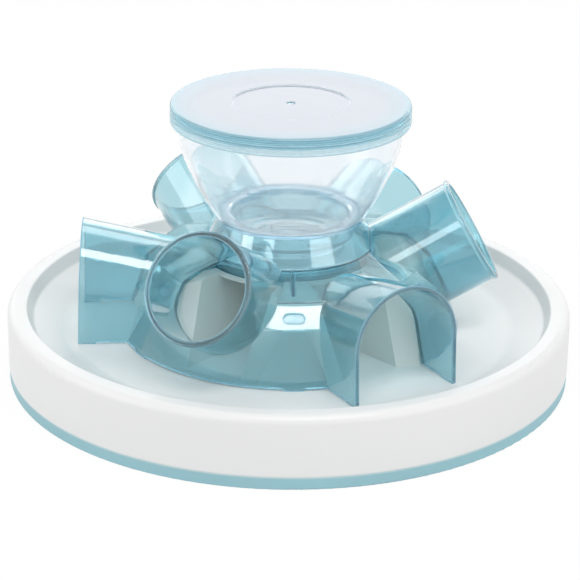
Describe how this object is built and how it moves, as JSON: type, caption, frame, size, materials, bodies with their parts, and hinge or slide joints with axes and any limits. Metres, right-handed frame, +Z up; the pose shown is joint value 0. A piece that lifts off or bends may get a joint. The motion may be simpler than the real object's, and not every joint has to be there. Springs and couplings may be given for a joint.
{
  "type": "cat puzzle feeder",
  "caption": "Round food dish with a ring of arched and tilted tunnels that a cat fishes dry food out of, fed by a clear lidded hopper over a turning dosing disc",
  "frame": {"origin": "centre of the foot of the dish, on the surface it stands on", "axes": "+Z up along the axis of the dish; the view in the picture looks along +Y, and +X is to its right"},
  "size_m": [0.28, 0.28, 0.1384],
  "materials": {
    "white_plastic": "smooth satin",
    "ring_rubber": "matte",
    "turquoise_plastic": "glossy translucent",
    "pale_turquoise_plastic": "glossy translucent",
    "clear_plastic": "glossy clear"
  },
  "bodies": {
    "base": {"dish": "white_plastic", "nonslip_ring": "ring_rubber", "food_distributor": "white_plastic"},
    "tunnels": {"tunnel_ring": "turquoise_plastic"},
    "dosing": {"dosing_disc": "white_plastic"},
    "bowl": {"hopper": "clear_plastic"},
    "cap": {"lid": "pale_turquoise_plastic"}
  },
  "joints": [
    {"name": "tunnel_ring_lift", "type": "slide", "parent": "base", "child": "tunnels", "axis": [0, 0, 1], "range_m": [0, 0.06]},
    {"name": "dosing_turn", "type": "hinge", "parent": "tunnels", "child": "dosing", "pos_m": [0, 0, 0.0628], "axis": [0, 0, 1], "range_deg": [0, 30]},
    {"name": "hopper_lift", "type": "slide", "parent": "dosing", "child": "bowl", "axis": [0, 0, 1], "range_m": [0, 0.05]},
    {"name": "lid_lift", "type": "slide", "parent": "bowl", "child": "cap", "axis": [0, 0, 1], "range_m": [0, 0.03]}
  ]
}
